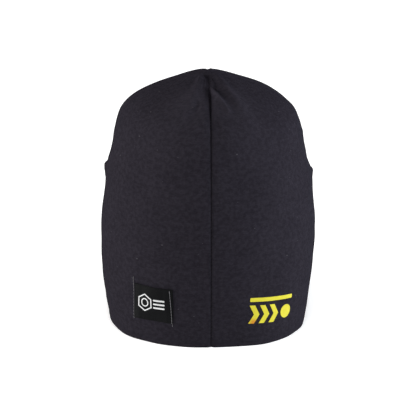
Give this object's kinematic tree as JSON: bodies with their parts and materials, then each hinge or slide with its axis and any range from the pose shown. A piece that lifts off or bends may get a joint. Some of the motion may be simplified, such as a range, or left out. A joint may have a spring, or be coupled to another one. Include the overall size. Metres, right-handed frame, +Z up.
{
  "type": "work beanie hat",
  "caption": "Close-fitting jersey beanie that stands on its rim, with a centre seam over the crown, side darts, a small woven label and a printed mark near the rim.",
  "frame": {"origin": "centre of the bounding box on the plane that the rim stands on", "axes": "+Z up to the crown tip, -Y towards the back of the hat with the label and the print, +X towards the wearer's right"},
  "size_m": [0.1725, 0.2059, 0.2007],
  "materials": {
    "jersey": "fine matt double jersey, dark heather charcoal",
    "label": "woven satin",
    "print": "thin heat-transfer film, satin"
  },
  "bodies": {
    "root": {"left_half": "jersey", "right_half": "jersey", "woven_label": "label", "print_bar": "print", "print_chevron_1": "print", "print_chevron_2": "print", "print_chevron_3": "print", "print_disc": "print"}
  },
  "joints": []
}
